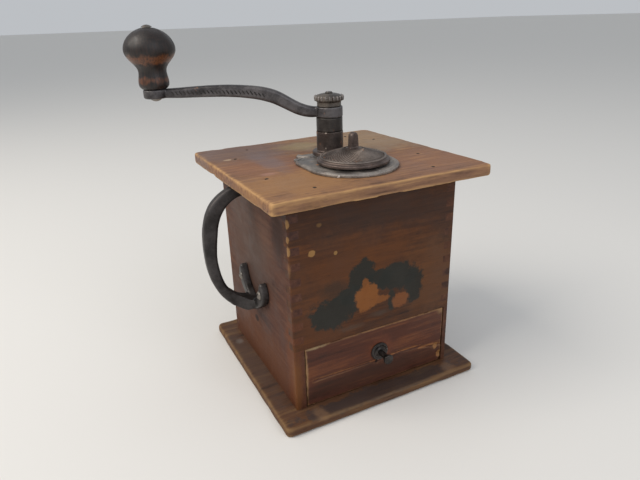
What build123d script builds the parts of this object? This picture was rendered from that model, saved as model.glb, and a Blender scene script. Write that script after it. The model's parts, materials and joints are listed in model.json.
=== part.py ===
import math
import os

from build123d import *

# A wooden box coffee mill with a cast iron crank on top and a drawer below.
# Millimetres. +Z is up, the drawer faces -Y, and the side handle is on -X.
# The origin is the middle of the base board's underside.

# Boards and box
top_corners = [(-89.8, -88.2), (96.6, -88.2), (88.4, 89.0), (-93.6, 87.6)]
top_thickness = 9.5
top_corner_radii = (3.0, 4.5, 8.0, 5.0)
top_edge_radius = 1.6
base_corners = [(-90.0, -91.5), (91.0, -91.5), (91.0, 89.0), (-90.0, 89.0)]
base_thickness = 8.0
base_corner_radii = (5.0, 3.5, 6.0, 6.0)
base_edge_radius = 2.0
box_side = 146.6
box_wall = 8.5
box_height = 170.4
box_corner_radius = 1.4
finger_count_front = 19

# Drawer
drawer_opening_top = 62.0
drawer_gap = 0.5
drawer_front_lap = 3.9
drawer_front_lap_depth = 9.6
drawer_corner_loss = 3.5
drawer_arris_radius = 0.9
drawer_front_thickness = 9.0
drawer_rabbet_depth = 5.0
drawer_side_thickness = 6.0
drawer_side_height = 47.0
drawer_floor_thickness = 3.2
drawer_floor_rise = 3.0
drawer_groove_depth = 3.0

# Drawer knob
knob_x = 3.0
knob_z = 39.0
rosette_radius = 8.0
rosette_thickness = 2.6
stem_radius = 2.5
stem_reach = 12.5
knob_end_radius = 4.3
knob_end_thickness = 2.8
knob_nut_width = 9.0
knob_nut_thickness = 4.0

# Nails
nail_head_radius = 1.6
nail_head_thickness = 1.0
nail_shank_radius = 0.9
nail_point_radius = 0.2
board_nail_length = 28.0
drawer_nail_length = 15.0

# Cover plate, its tower and the filler hole
filler_x = 2.0
filler_y = -32.6
filler_radius = 20.0
filler_lip_width = 2.5
plate_thickness = 2.0
plate_front_radius = 37.0
plate_front_end_y = -6.5
plate_waist_end_y = 5.5
plate_neck_half_width = 19.0
plate_horn_x = 22.6
plate_horn_y = 13.6
plate_horn_root_x = 17.6
plate_horn_root_y = 3.0
plate_rim_width = 5.0
plate_rim_height = 3.0
plate_land_height = 3.3
plate_waist_half_width = 32.0
plate_bolt_x = 27.5
plate_bolt_y = 0.6
bolt_radius = 1.75
bolt_nut_width = 5.6
bolt_nut_thickness = 2.6
tower_radius = 7.6
tower_height = 34.0
tower_land_radius = 13.0
tower_collar_radius = 10.7
tower_collar_height = 11.0

# Hopper lid
lid_turn = 7.5
lid_reach = 31.5
lid_radius = 29.0
lid_underside = 3.5
lid_flange_radius = 14.8
lid_flange_top = 7.0
lid_sleeve_radius = 11.0
lid_sleeve_top = 22.8
lid_peak = 13.8
lid_tab_width = 8.6
lid_tab_thickness = 5.0
lid_tab_height = 12.2
lid_tab_rounding = 1.2
lid_turning_gap = 0.2

# Hopper, burrs and lower bearing
hopper_mouth_y = -23.0
hopper_mouth_radius = 30.0
hopper_wall = 3.0
hopper_flange_radius = 37.0
hopper_flange_thickness = 3.5
hopper_throat_z = 132.0
housing_bottom_z = 108.0
housing_radius = 22.0
burr_ring_radius = 18.5
burr_ring_bottom_z = 110.0
burr_top_z = 131.0
burr_bottom_z = 111.5
burr_top_radius = 8.0
burr_bottom_radius = 15.0
burr_gap_top = 2.4
burr_gap_bottom = 0.8
burr_tooth_count = 12
bridge_thickness = 5.0
bridge_width = 12.0
bridge_screw_x = 26.5
bridge_boss_radius = 7.5

# Shaft
shaft_radius = 4.5
journal_radius = 4.0
shaft_running_gap = 0.05
shaft_square = 6.2
shaft_thread_radius = 3.0
shaft_tip_above_board = 53.8

# Crank
crank_angle = -26.0
crank_radius = 137.7
crank_hub_radius = 11.0
crank_hub_bottom = 34.1
crank_hub_top = 42.4
crank_boss_radius = 9.5
crank_boss_bottom = 53.0
crank_boss_top = 60.2
crank_arm_width = 8.0
spindle_radius = 3.2
rivet_head_radius = 4.4
rivet_head_height = 2.0
rivet_foot_radius = 5.0
rivet_foot_height = 2.4

# Wooden knob
grip_height = 44.9
grip_radius = 19.6
grip_gap = 0.3

# Adjusting nut
nut_gap = 0.1
nut_collar_radius = 9.8
nut_collar_height = 3.5
nut_radius = 11.8
nut_height = 10.0
nut_rib_count = 18

# Side handle
handle_width = 8.5
handle_foot_thickness = 6.5
handle_edge_radius = 2.4
handle_root_x = -75.5
handle_foot_screw_y = 21.8
handle_foot_screw_z = 89.0

half_box = box_side / 2
half_inside = half_box - box_wall
box_floor = base_thickness
box_top = box_floor + box_height
board_top = box_top + top_thickness
drawer_bottom_z = box_floor + 0.4
drawer_front_y = -half_box
drawer_back_y = half_inside - 0.6
drawer_half_width = half_inside - drawer_gap
drawer_inner_half = drawer_half_width - drawer_side_thickness
drawer_floor_z = drawer_bottom_z + drawer_floor_rise
drawer_floor_top = drawer_floor_z + drawer_floor_thickness


def block(x0, x1, y0, y1, z0, z1):
    """Box between two corners."""
    middle = Pos((x0 + x1) / 2, (y0 + y1) / 2, (z0 + z1) / 2)
    return middle * Box(x1 - x0, y1 - y0, z1 - z0)


def rod(x, y, z0, z1, radius):
    """Upright round bar between two heights."""
    return Pos(x, y, (z0 + z1) / 2) * Cylinder(radius, z1 - z0)


def group(solids):
    """Several separate solids as one node."""
    return Compound(children=[s for piece in solids for s in piece.solids()])


def nail(length):
    """Nail with its flat head's top at the origin, pointing down -Z."""
    head = rod(0, 0, -nail_head_thickness, 0, nail_head_radius)
    shank_end = -length + 3 * nail_shank_radius
    shank = rod(0, 0, shank_end, -nail_head_thickness, nail_shank_radius)
    point_length = 3 * nail_shank_radius
    point = Pos(0, 0, -length + point_length / 2) * Cone(nail_point_radius, nail_shank_radius, point_length)
    return head + shank + point


def dome(radius, height):
    """Cap of a ball, standing on z = 0."""
    ball_radius = (radius**2 + height**2) / (2 * height)
    ball = Pos(0, 0, height - ball_radius) * Sphere(ball_radius)
    reach = 2 * ball_radius
    return ball & block(-reach, reach, -reach, reach, 0, reach)


def screw(head_radius, head_height, shank_radius, length):
    """Slotted round head screw, head base at the origin, shank along -Z."""
    slot = Pos(0, 0, head_height) * Box(3 * head_radius, 0.9, head_height)
    shank = rod(0, 0, -length, 0, shank_radius)
    return (dome(head_radius, head_height) - slot) + shank


# ---------------------------------------------------------------- boards


def plain_board(corners, radii, z0, z1, edge_radius):
    """Board sawn to the given corners, each rounded, with its edges eased."""
    blank = extrude(Pos(0, 0, z0) * make_face(Polyline(*corners, close=True)), z1 - z0)
    for corner, radius in zip(corners, radii):
        upright = blank.edges().filter_by(Axis.Z)
        nearest = min(upright, key=lambda edge: math.dist((edge.center().X, edge.center().Y), corner))
        blank = fillet(nearest, radius)
    flat_edges = blank.faces().sort_by(Axis.Z)[0].edges() + blank.faces().sort_by(Axis.Z)[-1].edges()
    return fillet(flat_edges, edge_radius)


def top_nail_places():
    line = half_box - box_wall / 2
    along = [(-line, -30), (-line, 42), (line, -28), (line, 42)]
    across = [(-49, -line), (53, -line), (-49, line), (53, line)]
    return along + across


def base_nail_places():
    line = half_box - box_wall / 2
    sides = [(sign * line, y) for sign in (-1, 1) for y in (-50, 0, 50)]
    back = [(x, line) for x in (-38, 38)]
    return sides + back


def make_top_nails():
    return group([Pos(x, y, board_top) * nail(board_nail_length) for x, y in top_nail_places()])


def make_base_nails():
    turned = [Pos(x, y, 0.3) * Rot(180, 0, 0) * nail(board_nail_length) for x, y in base_nail_places()]
    return group(turned)


def hopper_hole():
    """Round hole in the top board that the hopper hangs through."""
    radius = hopper_mouth_radius + 1.0
    return rod(0, hopper_mouth_y, box_top - 1, board_top + 1, radius)


def make_top_board(nails, bolts):
    board = plain_board(top_corners, top_corner_radii, box_top, board_top, top_edge_radius)
    return board - hopper_hole() - nails - bolts


def make_base_board(nails):
    return plain_board(base_corners, base_corner_radii, 0, base_thickness, base_edge_radius) - nails


# ---------------------------------------------------------------- box panels


def finger_height():
    return (box_top - drawer_opening_top) / finger_count_front


def finger_slots(sx, sy, parity, z_low):
    """Every second finger space of one corner, counted down from the top."""
    step = finger_height()
    slots = []
    index = 0
    high = box_top
    while high - z_low > 0.01:
        low = max(high - step, z_low)
        if index % 2 == parity:
            xs = sorted((sx * half_inside, sx * (half_box + 1)))
            ys = sorted((sy * half_inside, sy * (half_box + 1)))
            slots.append(block(xs[0], xs[1], ys[0], ys[1], low, high))
        high = low
        index += 1
    return slots


def box_envelope():
    """Outer shape of the box with its worn upright corners."""
    whole = block(-half_box, half_box, -half_box, half_box, box_floor, box_top)
    return fillet(whole.edges().filter_by(Axis.Z), box_corner_radius)


def make_side_panel(sign, fasteners):
    xs = sorted((sign * half_inside, sign * half_box))
    panel = block(xs[0], xs[1], -half_box, half_box, box_floor, box_top)
    for slot in finger_slots(sign, -1, 0, drawer_opening_top):
        panel -= slot
    for slot in finger_slots(sign, 1, 0, box_floor):
        panel -= slot
    if sign > 0:
        lap_end = half_inside + drawer_front_lap
        lap_back = -half_box + drawer_front_lap_depth
        panel -= block(half_inside - 1, lap_end, -half_box - 1, lap_back, box_floor - 1, drawer_opening_top)
    return (panel & box_envelope()) - fasteners


def make_end_panel(sign, z_low, fasteners):
    ys = sorted((sign * half_inside, sign * half_box))
    panel = block(-half_box, half_box, ys[0], ys[1], z_low, box_top)
    for side in (-1, 1):
        for slot in finger_slots(side, sign, 1, z_low):
            panel -= slot
    return (panel & box_envelope()) - fasteners


# ---------------------------------------------------------------- drawer


def drawer_nail_places():
    front_y = drawer_front_y + drawer_front_thickness - drawer_rabbet_depth / 2
    back_y = drawer_back_y - drawer_side_thickness / 2
    return [(y, z) for y in (front_y, back_y) for z in (drawer_floor_top + 7, drawer_floor_top + 31)]


def make_drawer_nails():
    nails = []
    for sign in (-1, 1):
        for y, z in drawer_nail_places():
            place = Pos(sign * drawer_half_width, y, z) * Rot(0, sign * 90, 0)
            nails.append(place * nail(drawer_nail_length))
    return group(nails)


def make_drawer_bottom():
    half = drawer_inner_half + drawer_groove_depth
    front = drawer_front_y + drawer_front_thickness - drawer_groove_depth
    return block(-half, half, front, drawer_back_y, drawer_floor_z, drawer_floor_top)


def make_drawer_side(sign, bottom, nails):
    xs = sorted((sign * drawer_inner_half, sign * drawer_half_width))
    front = drawer_front_y + drawer_front_thickness - drawer_rabbet_depth
    top = drawer_bottom_z + drawer_side_height
    side = block(xs[0], xs[1], front, drawer_back_y, drawer_bottom_z, top)
    return side - bottom - nails


def make_drawer_back(nails):
    top = drawer_bottom_z + drawer_side_height
    front = drawer_back_y - drawer_side_thickness
    back = block(-drawer_inner_half, drawer_inner_half, front, drawer_back_y, drawer_floor_top, top)
    return back - nails


def make_drawer_front(bottom, nails):
    """Front board, lapped over the right wall, with its lower right corner broken off."""
    back_y = drawer_front_y + drawer_front_thickness
    top = drawer_opening_top - 0.4
    right = drawer_half_width + drawer_front_lap
    front = block(-drawer_half_width, right, drawer_front_y, back_y, drawer_bottom_z, top)
    corner = [e for e in front.edges().filter_by(Axis.Y) if e.center().X > 0 and e.center().Z < knob_z]
    front = chamfer(corner, drawer_corner_loss)
    face_edges = front.faces().sort_by(Axis.Y)[0].edges()
    front = fillet(face_edges, drawer_arris_radius)
    side_top = drawer_bottom_z + drawer_side_height
    rabbet_y = back_y - drawer_rabbet_depth
    for xs in ((-drawer_half_width - 1, -drawer_inner_half), (drawer_inner_half, drawer_half_width)):
        front -= block(xs[0], xs[1], rabbet_y, back_y + 1, drawer_bottom_z - 1, side_top)
    hole = Pos(knob_x, drawer_front_y, knob_z) * Rot(90, 0, 0) * Cylinder(stem_radius, 40)
    return front - bottom - nails - hole


def on_drawer_face(shape):
    """Turns a shape made along +Z so that it stands out of the drawer's face."""
    return Pos(knob_x, drawer_front_y, knob_z) * Rot(90, 0, 0) * shape


def make_drawer_rosette():
    """Dished round back plate behind the drawer knob."""
    outline = Polyline(
        (stem_radius, 0, 0),
        (rosette_radius, 0, 0),
        (rosette_radius, 0, 1.0),
        (rosette_radius - 1.3, 0, rosette_thickness),
        (rosette_radius - 2.6, 0, 1.3),
        (stem_radius + 1.8, 0, 1.3),
        (stem_radius, 0, rosette_thickness),
        (stem_radius, 0, 0),
    )
    return on_drawer_face(revolve(make_face(outline), Axis.Z))


def make_drawer_knob():
    """Small iron pull: threaded stem and a round end."""
    inner = -drawer_front_thickness - knob_nut_thickness - 1.0
    stem = rod(0, 0, inner, stem_reach, stem_radius)
    shoulder = Pos(0, 0, stem_reach - 1.2) * Cone(stem_radius, knob_end_radius - 0.6, 2.4)
    end = rod(0, 0, stem_reach, stem_reach + knob_end_thickness, knob_end_radius)
    end = fillet(end.edges(), 1.1)
    return on_drawer_face(stem + shoulder + end)


def make_drawer_knob_nut():
    low = -drawer_front_thickness - knob_nut_thickness
    half = knob_nut_width / 2
    nut = block(-half, half, -half, half, low, low + knob_nut_thickness)
    nut = chamfer(nut.edges().filter_by(Axis.Z), 0.8)
    return on_drawer_face(nut - rod(0, 0, low - 1, 1, stem_radius))


# ---------------------------------------------------------------- cover plate


def plate_front_shape():
    """U shape round the filler hole, open towards the tower."""
    disc = Pos(filler_x, filler_y) * Circle(plate_front_radius)
    mid_y = (filler_y + plate_front_end_y) / 2
    sides = Pos(filler_x, mid_y) * Rectangle(2 * plate_front_radius, plate_front_end_y - filler_y)
    cut_off = Pos(0, plate_front_end_y + 50) * Rectangle(200, 100)
    return (disc + sides) - cut_off


def plate_neck_shape():
    """Neck under the tower, which widens into two horns at the back."""
    half = plate_neck_half_width
    tip_x = plate_horn_x + 1
    tip_y = plate_horn_y + 1
    points = [(-half, -20), (half, -20), (half, plate_horn_root_y), (tip_x, plate_horn_y), (tip_x, tip_y)]
    points += [(-tip_x, tip_y), (-tip_x, plate_horn_y), (-half, plate_horn_root_y)]
    return make_face(Polyline(*points, close=True))


def rim_section(offset):
    """Half-round rim section standing on z = 0 at the given radius."""
    half = plate_rim_width / 2
    shoulder = plate_rim_height - half
    left = offset - half
    right = offset + half
    return make_face(
        [
            Line((left, 0, 0), (right, 0, 0)),
            Line((right, 0, 0), (right, 0, shoulder)),
            ThreePointArc((right, 0, shoulder), (offset, 0, plate_rim_height), (left, 0, shoulder)),
            Line((left, 0, shoulder), (left, 0, 0)),
        ]
    )


def rim_prong():
    """Round end of a rim: its half section turned about its own middle."""
    half = plate_rim_width / 2
    shoulder = plate_rim_height - half
    quarter = half * math.sin(math.radians(45))
    outline = make_face(
        [
            Line((0, 0, 0), (half, 0, 0)),
            Line((half, 0, 0), (half, 0, shoulder)),
            ThreePointArc((half, 0, shoulder), (quarter, 0, shoulder + quarter), (0, 0, plate_rim_height)),
            Line((0, 0, plate_rim_height), (0, 0, 0)),
        ]
    )
    return revolve(outline, Axis.Z)


def make_plate_rims():
    """Raised rims: a U round the filler hole and a short one along each horn."""
    middle = plate_front_radius - plate_rim_width / 2
    straight = plate_front_end_y - filler_y
    place = Pos(filler_x, filler_y, 0)
    rims = [place * Rot(0, 0, 180) * revolve(rim_section(middle), Axis.Z, 180)]
    reach_x = plate_horn_x - plate_horn_root_x
    reach_y = plate_horn_y - plate_horn_root_y
    horn_length = math.hypot(reach_x, reach_y)
    horn_turn = math.degrees(math.atan2(reach_x, reach_y))
    for sign in (-1, 1):
        rims.append(place * extrude(rim_section(sign * middle), straight, dir=(0, 1, 0)))
        rims.append(Pos(filler_x + sign * middle, plate_front_end_y, 0) * rim_prong())
        root = Pos(sign * plate_horn_root_x, plate_horn_root_y, 0) * Rot(0, 0, -sign * horn_turn)
        rims.append(root * extrude(rim_section(0), horn_length, dir=(0, 1, 0)))
        rims.append(root * rim_prong())
        rims.append(root * Pos(0, horn_length, 0) * rim_prong())
    return [Pos(0, 0, board_top) * rim for rim in rims]


def plate_bolt_cutter():
    """Countersunk bolts of the cover plate, as solids."""
    bolts = []
    for sign in (-1, 1):
        low = box_top - hopper_flange_thickness - 7.0
        head = Pos(sign * plate_bolt_x, plate_bolt_y, board_top + plate_thickness - 1.0)
        bolt = rod(sign * plate_bolt_x, plate_bolt_y, low, board_top + plate_thickness, bolt_radius)
        bolt += head * Cone(bolt_radius, 3.9, 2.0)
        bolts.append(bolt)
    return bolts


def make_plate_bolts():
    slotted = []
    for bolt in plate_bolt_cutter():
        x = bolt.center().X
        top = board_top + plate_thickness
        turn = 35 if x < 0 else 110
        slot = Pos(x, plate_bolt_y, top) * Rot(0, 0, turn) * Box(12, 0.9, 1.4)
        slotted.append(bolt - slot)
    return group(slotted)


def make_bolt_nuts():
    nuts = []
    for sign in (-1, 1):
        top = box_top - hopper_flange_thickness
        facing = math.degrees(math.atan2(plate_bolt_y - hopper_mouth_y, sign * plate_bolt_x))
        place = Pos(sign * plate_bolt_x, plate_bolt_y, top - bolt_nut_thickness / 2)
        nut = place * Rot(0, 0, facing) * Box(bolt_nut_width, bolt_nut_width, bolt_nut_thickness)
        nuts.append(nut - rod(sign * plate_bolt_x, plate_bolt_y, top - 10, top + 1, bolt_radius))
    return group(nuts)


def make_cover_plate():
    """Iron plate with the filler hole, the rims and the fixed tower."""
    waist_low = filler_y / 2
    waist_mid = (waist_low + plate_waist_end_y) / 2
    waist_length = plate_waist_end_y - waist_low
    floor = plate_front_shape() + plate_neck_shape()
    floor += Pos(0, waist_mid) * RectangleRounded(2 * plate_waist_half_width, waist_length, 3)
    plate = extrude(Pos(0, 0, board_top) * floor, plate_thickness)
    for rim in make_plate_rims():
        plate += rim
    land_top = board_top + plate_land_height
    plate += rod(filler_x, filler_y, board_top, land_top, filler_radius + filler_lip_width)
    plate += rod(0, 0, board_top, land_top, tower_land_radius)
    plate += rod(0, 0, board_top, board_top + tower_height, tower_radius)
    plate -= rod(filler_x, filler_y, board_top - 1, board_top + 10, filler_radius)
    plate -= rod(0, 0, board_top - 1, board_top + tower_height + 1, shaft_radius + shaft_running_gap)
    for bolt in plate_bolt_cutter():
        plate -= bolt
    return plate


def make_tower_collar():
    """Bearing collar pressed on the tower, which keeps the lid's sleeve down."""
    top = board_top + tower_height
    ring = rod(0, 0, top - tower_collar_height, top, tower_collar_radius)
    ring = fillet(ring.edges(), 0.5)
    return ring - rod(0, 0, top - 20, top + 1, tower_radius)


# ---------------------------------------------------------------- hopper lid


def lid_dish():
    """Shallow hollow cone with a stepped edge, standing on z = 0."""
    rise = lid_peak - lid_underside
    section = Polyline(
        (0, 0, 0),
        (lid_radius, 0, 0),
        (lid_radius, 0, 1.8),
        (lid_radius - 0.8, 0, 2.4),
        (lid_radius - 2.4, 0, 2.6),
        (lid_radius - 2.7, 0, 3.5),
        (5.5, 0, rise),
        (0, 0, rise),
        (0, 0, 0),
    )
    hollow = Polyline(
        (0, 0, -1),
        (lid_radius - 4.5, 0, -1),
        (lid_radius - 4.5, 0, 0.6),
        (3.0, 0, rise - 3.2),
        (0, 0, rise - 3.2),
        (0, 0, -1),
    )
    return revolve(make_face(section), Axis.Z) - revolve(make_face(hollow), Axis.Z)


def lid_tab():
    """Upright finger tab with a round top, standing on z = 0."""
    half = lid_tab_width / 2
    upper_half = 0.82 * half
    shoulder = lid_tab_height - upper_half
    outline = make_face(
        [
            Line((-half, 0, -2), (half, 0, -2)),
            Line((half, 0, -2), (upper_half, 0, shoulder)),
            ThreePointArc((upper_half, 0, shoulder), (0, 0, lid_tab_height), (-upper_half, 0, shoulder)),
            Line((-upper_half, 0, shoulder), (-half, 0, -2)),
        ]
    )
    tab = extrude(outline, lid_tab_thickness / 2, dir=(0, 1, 0), both=True)
    face_y = lid_tab_thickness / 4
    outline_edges = [e for e in tab.edges() if e.center().Z > -1.5 and abs(e.center().Y) > face_y]
    return fillet(outline_edges, lid_tab_rounding)


def make_hopper_lid():
    """Cast lid that swings about the tower, with its sleeve and finger tab."""
    low = board_top + lid_underside
    sleeve_top = board_top + lid_sleeve_top
    sleeve = rod(0, 0, low, sleeve_top, lid_sleeve_radius)
    flange = rod(0, 0, low, board_top + lid_flange_top, lid_flange_radius)
    flange = fillet(flange.edges().sort_by(Axis.Z)[-1], 1.2)
    dish = Pos(0, -lid_reach, low) * lid_dish()
    tab = Pos(0, -lid_reach, board_top + lid_peak) * lid_tab()
    body = dish + (flange + sleeve) + tab
    body -= rod(0, 0, low - 1, sleeve_top + 1, tower_radius + lid_turning_gap)
    return Rot(0, 0, lid_turn) * body


# ---------------------------------------------------------------- mill works


def make_hopper_bowl():
    """Cast funnel under the top board, which ends in the burr housing."""
    flange_low = box_top - hopper_flange_thickness
    flange = rod(0, hopper_mouth_y, flange_low, box_top, hopper_flange_radius)
    for sign in (-1, 1):
        flange += rod(sign * plate_bolt_x, plate_bolt_y, flange_low, box_top, 7.0)
    outer_mouth = Pos(0, hopper_mouth_y, flange_low) * Circle(hopper_mouth_radius + hopper_wall)
    outer_throat = Pos(0, 0, hopper_throat_z) * Circle(housing_radius)
    inner_mouth = Pos(0, hopper_mouth_y, flange_low) * Circle(hopper_mouth_radius)
    inner_throat = Pos(0, 0, hopper_throat_z) * Circle(burr_ring_radius)
    funnel = loft([outer_throat, outer_mouth], ruled=True) + flange
    housing = rod(0, 0, housing_bottom_z, hopper_throat_z, housing_radius)
    for sign in (-1, 1):
        housing += rod(sign * bridge_screw_x, 0, housing_bottom_z, housing_bottom_z + 14, 5.5)
        edge = sorted((sign * (housing_radius - 2), sign * bridge_screw_x))
        housing += block(edge[0], edge[1], -5.5, 5.5, housing_bottom_z, housing_bottom_z + 14)
    bowl = funnel + housing
    hollow = loft([inner_throat, inner_mouth], ruled=True)
    hollow += rod(0, hopper_mouth_y, flange_low, box_top + 1, hopper_mouth_radius)
    hollow += rod(0, 0, housing_bottom_z - 1, hopper_throat_z, burr_ring_radius)
    bowl -= hollow
    for bolt in plate_bolt_cutter():
        bowl -= bolt
    return bowl


def burr_tooth(radius_low, radius_high, z_low, z_high, width):
    """Radial wedge that cuts one tooth space along a cone's side."""
    outline = Polyline(
        (radius_low, 0, z_low),
        (radius_low + width, 0, z_low),
        (radius_high + width, 0, z_high),
        (radius_high, 0, z_high),
        (radius_low, 0, z_low),
    )
    return extrude(make_face(outline), width / 2, dir=(0, 1, 0), both=True)


def make_outer_burr():
    """Fixed grinding ring, seated in the housing."""
    top = hopper_throat_z
    ring = rod(0, 0, burr_ring_bottom_z, top, burr_ring_radius)
    slope = (burr_bottom_radius - burr_top_radius) / (burr_top_z - burr_bottom_z)
    low_radius = burr_bottom_radius + burr_gap_bottom + slope * (burr_bottom_z - burr_ring_bottom_z)
    high_radius = burr_top_radius + burr_gap_top - slope * (top - burr_top_z)
    height = top - burr_ring_bottom_z
    ring -= Pos(0, 0, (top + burr_ring_bottom_z) / 2) * Cone(low_radius, high_radius, height + 0.02)
    tooth = burr_tooth(low_radius - 1.5, high_radius - 1.5, burr_ring_bottom_z - 1, top + 1, 3.0)
    for index in range(burr_tooth_count):
        ring -= Rot(0, 0, index * 360 / burr_tooth_count) * tooth
    return ring


def make_inner_burr(pin):
    """Grinding cone fixed on the shaft."""
    height = burr_top_z - burr_bottom_z
    cone = Pos(0, 0, (burr_top_z + burr_bottom_z) / 2) * Cone(burr_bottom_radius, burr_top_radius, height)
    tooth = burr_tooth(burr_bottom_radius - 1.6, burr_top_radius - 1.6, burr_bottom_z, burr_top_z, 2.4)
    lower = burr_bottom_z + 4.0
    tooth -= block(-30, 30, -30, 30, burr_bottom_z - 1, lower)
    for index in range(burr_tooth_count):
        cone -= Rot(0, 0, (index + 0.5) * 360 / burr_tooth_count) * tooth
    return cone - rod(0, 0, burr_bottom_z - 1, burr_top_z + 1, shaft_radius) - pin


def make_burr_pin():
    """Cross pin that fixes the cone to the shaft."""
    height = (burr_top_z + burr_bottom_z) / 2 - 3
    return Pos(0, 0, height) * Rot(0, 90, 0) * Cylinder(1.25, 2 * (burr_top_radius + 0.5))


def make_main_shaft(pin):
    """Steel shaft: lower journal, round body, square drive and threaded tip."""
    journal_top = housing_bottom_z + 2.0
    square_low = board_top + tower_height - 1.0
    square_high = board_top + crank_hub_top - 1.0
    tip = board_top + shaft_tip_above_board
    shaft = rod(0, 0, housing_bottom_z - bridge_thickness - 2, journal_top, journal_radius)
    shaft += rod(0, 0, journal_top, square_low, shaft_radius)
    half = shaft_square / 2
    shaft += block(-half, half, -half, half, square_low, square_high)
    end = rod(0, 0, square_high, tip, shaft_thread_radius)
    end = chamfer(end.edges().sort_by(Axis.Z)[-1], 0.7)
    return shaft + end - pin


def make_bridge():
    """Bar across the housing that holds the shaft's lower end."""
    top = housing_bottom_z
    low = top - bridge_thickness
    half = bridge_screw_x
    bar = block(-half, half, -bridge_width / 2, bridge_width / 2, low, top)
    for sign in (-1, 1):
        bar += rod(sign * half, 0, low, top, bridge_width / 2)
    bar += rod(0, 0, low - 1.5, top, bridge_boss_radius)
    bar -= rod(0, 0, low - 5, top + 5, journal_radius + shaft_running_gap)
    for sign in (-1, 1):
        bar -= rod(sign * half, 0, low - 1, top + 1, 2.0)
    return bar


def make_bridge_screws():
    screws = []
    for sign in (-1, 1):
        place = Pos(sign * bridge_screw_x, 0, housing_bottom_z - bridge_thickness)
        screws.append(place * Rot(180, 0, 25 * sign) * screw(3.8, 2.4, 2.0, bridge_thickness + 11))
    return group(screws)


# ---------------------------------------------------------------- crank


def turn_crank(shape):
    """Turns a shape made along -X to where the crank rests."""
    return Rot(0, 0, crank_angle) * shape


def make_crank_arm():
    """Cast arm: hub, rising neck, long near-level arm and end boss."""
    upper = Spline(
        (-8, 0, 42.4),
        (-22, 0, 45.2),
        (-41, 0, 55.6),
        (-62, 0, 60.4),
        (-95, 0, 61.6),
        (-crank_radius + 6, 0, 60.1),
    )
    lower = Spline(
        (-crank_radius + 6, 0, 53.1),
        (-97, 0, 52.6),
        (-64, 0, 50.6),
        (-44, 0, 45.4),
        (-26, 0, 36.6),
        (-8, 0, 34.4),
    )
    outline = make_face([upper, Line(upper @ 1, lower @ 0), lower, Line(lower @ 1, upper @ 0)])
    arm = extrude(outline, crank_arm_width / 2, dir=(0, 1, 0), both=True)
    arm = Pos(0, 0, board_top) * arm
    long_edges = [e for e in arm.edges() if e.length > 60]
    arm = fillet(long_edges, 2.6)
    hub = rod(0, 0, board_top + crank_hub_bottom, board_top + crank_hub_top, crank_hub_radius)
    hub = fillet(hub.edges(), 0.8)
    boss_low = board_top + crank_boss_bottom
    boss_top = board_top + crank_boss_top
    boss = rod(-crank_radius, 0, boss_low, boss_top, crank_boss_radius)
    boss = fillet(boss.edges(), 1.4)
    crank = arm + hub + boss
    hole = shaft_square + 2 * shaft_running_gap
    half = hole / 2
    square = block(-half, half, -half, half, board_top + 30, board_top + 50)
    crank -= Rot(0, 0, -crank_angle) * square
    crank -= rod(-crank_radius, 0, boss_low - 1, boss_top + 1, spindle_radius)
    return turn_crank(crank)


def make_knob_spindle():
    """Iron pin riveted over below the boss and on top of the wooden knob."""
    low = board_top + crank_boss_bottom
    high = board_top + crank_boss_top + grip_gap + grip_height + 0.25
    pin = rod(0, 0, low, high, spindle_radius)
    head = Pos(0, 0, high) * dome(rivet_head_radius, rivet_head_height)
    foot = Pos(0, 0, low) * Rot(180, 0, 0) * dome(rivet_foot_radius, rivet_foot_height)
    return turn_crank(Pos(-crank_radius, 0, 0) * (pin + head + foot))


def make_crank_knob():
    """Turned wooden grip: round bulb, hollow neck and small foot."""
    height = grip_height
    foot = 0.585 * grip_radius
    crown = 0.235 * grip_radius
    side = Spline(
        (foot, 0, 0.043 * height),
        (0.6 * grip_radius, 0, 0.128 * height),
        (0.56 * grip_radius, 0, 0.32 * height),
        (0.735 * grip_radius, 0, 0.438 * height),
        (grip_radius, 0, 0.625 * height),
        (0.84 * grip_radius, 0, 0.84 * height),
        (0.46 * grip_radius, 0, 0.966 * height),
        (crown, 0, height),
    )
    outline = make_face(
        [
            Line((0, 0, 0), (foot - 1.6, 0, 0)),
            Line((foot - 1.6, 0, 0), side @ 0),
            side,
            Line((crown, 0, height), (0, 0, height)),
            Line((0, 0, height), (0, 0, 0)),
        ]
    )
    grip = revolve(outline, Axis.Z)
    grip -= rod(0, 0, -1, height + 1, spindle_radius + shaft_running_gap)
    return turn_crank(Pos(-crank_radius, 0, board_top + crank_boss_top + grip_gap) * grip)


def make_adjusting_nut():
    """Ribbed thumb nut on the shaft's thread, bearing on the crank's hub."""
    low = board_top + crank_hub_top + nut_gap
    outline = make_face(
        [
            Line((0, 0, 0), (nut_collar_radius, 0, 0)),
            Line((nut_collar_radius, 0, 0), (nut_collar_radius, 0, nut_collar_height)),
            Line((nut_collar_radius, 0, nut_collar_height), (nut_radius, 0, nut_collar_height + 1.6)),
            Line((nut_radius, 0, nut_collar_height + 1.6), (nut_radius, 0, nut_collar_height + 4.0)),
            ThreePointArc(
                (nut_radius, 0, nut_collar_height + 4.0),
                (0.72 * nut_radius, 0, nut_height - 0.9),
                (4.5, 0, nut_height),
            ),
            Line((4.5, 0, nut_height), (0, 0, nut_height)),
            Line((0, 0, nut_height), (0, 0, 0)),
        ]
    )
    nut = revolve(outline, Axis.Z)
    for index in range(nut_rib_count):
        groove = rod(nut_radius + 0.55, 0, nut_collar_height - 1, nut_height + 1, 1.15)
        nut -= Rot(0, 0, index * 360 / nut_rib_count) * groove
    nut -= rod(0, 0, -1, nut_height + 1, shaft_thread_radius + shaft_running_gap)
    return Pos(0, 0, low) * nut


# ---------------------------------------------------------------- side handle


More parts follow.
